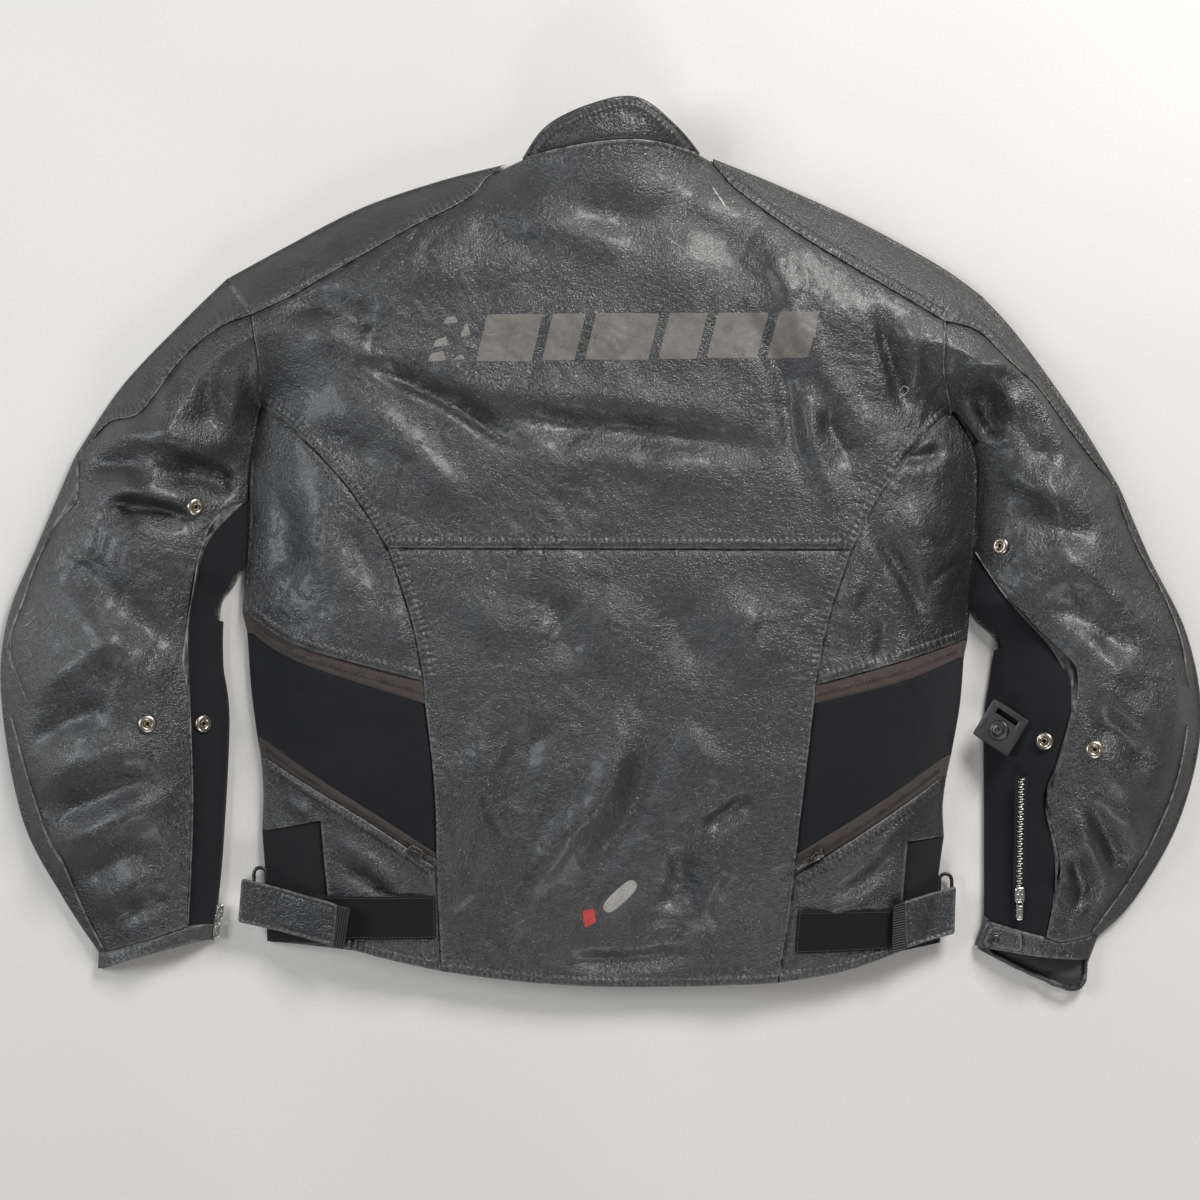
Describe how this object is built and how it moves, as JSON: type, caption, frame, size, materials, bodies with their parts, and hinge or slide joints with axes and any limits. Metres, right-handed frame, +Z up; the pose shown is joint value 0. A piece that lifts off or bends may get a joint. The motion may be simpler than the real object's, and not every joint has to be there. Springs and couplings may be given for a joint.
{
  "type": "leather riding jacket",
  "caption": "Sport-touring leather riding jacket lying face down, with stand collar, curved sleeves, side vents, waist straps, zips and ring snaps.",
  "frame": {"origin": "middle of the jacket's plan, on the surface it lies on", "axes": "+Y towards the collar, +Z up out of the back, +X across both sleeves"},
  "size_m": [0.9644, 0.7074, 0.0546],
  "materials": {
    "leather": "grained, semi-gloss, black",
    "leather_worn": "matt, rubbed, black",
    "fabric": "matt black stretch weave",
    "lining": "smooth black lining",
    "zip_tape": "dark brown-grey woven tape with coil teeth",
    "metal": "antique nickel",
    "rubber": "matt ribbed black",
    "plastic": "satin black moulding",
    "hook_loop": "black loop pile",
    "foam": "grey armour foam"
  },
  "bodies": {
    "torso": {"back_yoke_panel": "leather", "lower_back_panel": "leather", "front_zip": "zip_tape", "collar_back": "leather", "collar_front": "leather", "back_lining": "lining", "back_protector": "foam", "hanger_loop": "lining", "left_shoulder_panel": "leather", "left_side_back_panel": "leather", "left_upper_side_zip": "zip_tape", "left_side_vent_panel": "fabric", "left_lower_side_zip": "zip_tape", "left_hip_panel": "leather", "left_waist_insert": "fabric", "left_front_panel": "leather", "left_loop_patch": "hook_loop", "left_strap_ring": "metal", "right_shoulder_panel": "leather", "right_side_back_panel": "leather", "right_upper_side_zip": "zip_tape", "right_side_vent_panel": "fabric", "right_lower_side_zip": "zip_tape", "right_hip_panel": "leather", "right_waist_insert": "fabric", "right_front_panel": "leather", "right_loop_patch": "hook_loop", "right_strap_ring": "metal"},
    "left_sleeve": {"left_overarm_panel": "leather", "left_sleeve_panel": "leather", "left_sleeve_stretch_panel": "fabric", "left_cuff_band": "leather_worn", "left_sleeve_underside": "leather", "left_elbow_pad": "foam", "left_upper_snap": "metal", "left_outer_snap": "metal", "left_inner_snap": "metal"},
    "left_strap": {"left_waist_strap": "leather", "left_pull_tab": "rubber"},
    "left_side_slider": {"left_side_zip_slider": "metal"},
    "left_cuff_slider": {"left_cuff_zip_slider": "metal"},
    "right_sleeve": {"right_overarm_panel": "leather", "right_sleeve_panel": "leather", "right_sleeve_stretch_panel": "fabric", "right_cuff_band": "leather_worn", "right_sleeve_underside": "leather", "right_elbow_pad": "foam", "right_upper_snap": "metal", "right_outer_snap": "metal", "right_inner_snap": "metal", "right_cuff_zip": "zip_tape"},
    "right_strap": {"right_waist_strap": "leather", "right_pull_tab": "rubber"},
    "right_side_slider": {"right_side_zip_slider": "metal"},
    "right_cuff_slider": {"right_cuff_zip_slider": "metal"},
    "front_slider": {"front_zip_slider": "metal"},
    "cuff_tab": {"right_cuff_tab": "leather_worn"},
    "sleeve_strap": {"right_sleeve_strap": "fabric", "right_strap_keeper": "plastic"}
  },
  "joints": [
    {"name": "left_sleeve_swing", "type": "hinge", "parent": "torso", "child": "left_sleeve", "pos_m": [-0.3006, 0.215, 0], "axis": [0, 0, -1], "range_deg": [0, 20]},
    {"name": "right_sleeve_swing", "type": "hinge", "parent": "torso", "child": "right_sleeve", "pos_m": [0.3054, 0.2019, 0], "axis": [0, 0, 1], "range_deg": [0, 20]},
    {"name": "left_strap_peel", "type": "hinge", "parent": "torso", "child": "left_strap", "pos_m": [-0.2912, -0.283, 0.0122], "axis": [0, -1, 0], "range_deg": [0, 110]},
    {"name": "right_strap_peel", "type": "hinge", "parent": "torso", "child": "right_strap", "pos_m": [0.2863, -0.291, 0.0122], "axis": [0, 1, 0], "range_deg": [0, 110]},
    {"name": "left_side_zip_slide", "type": "slide", "parent": "torso", "child": "left_side_slider", "axis": [-0.8282, 0.5477, 0.1191], "range_m": [0, 0.044]},
    {"name": "right_side_zip_slide", "type": "slide", "parent": "torso", "child": "right_side_slider", "axis": [0.8388, 0.5312, 0.1191], "range_m": [0, 0.044]},
    {"name": "front_zip_slide", "type": "slide", "parent": "torso", "child": "front_slider", "axis": [0, -1, 0], "range_m": [0, 0.48]},
    {"name": "left_cuff_zip_slide", "type": "slide", "parent": "left_sleeve", "child": "left_cuff_slider", "axis": [0.0979, 0.9952, 0], "range_m": [0, 0.05]},
    {"name": "right_cuff_zip_slide", "type": "slide", "parent": "right_sleeve", "child": "right_cuff_slider", "axis": [0, 0.996, 0.0896], "range_m": [0, 0.072]},
    {"name": "cuff_tab_lift", "type": "hinge", "parent": "right_sleeve", "child": "cuff_tab", "pos_m": [0.3382, -0.314, 0.0245], "axis": [0, 1, 0], "range_deg": [0, 70]},
    {"name": "sleeve_strap_lift", "type": "hinge", "parent": "right_sleeve", "child": "sleeve_strap", "pos_m": [0.3134, -0.1591, 0.0173], "axis": [0.762, -0.53, 0.372], "range_deg": [0, 60]}
  ]
}
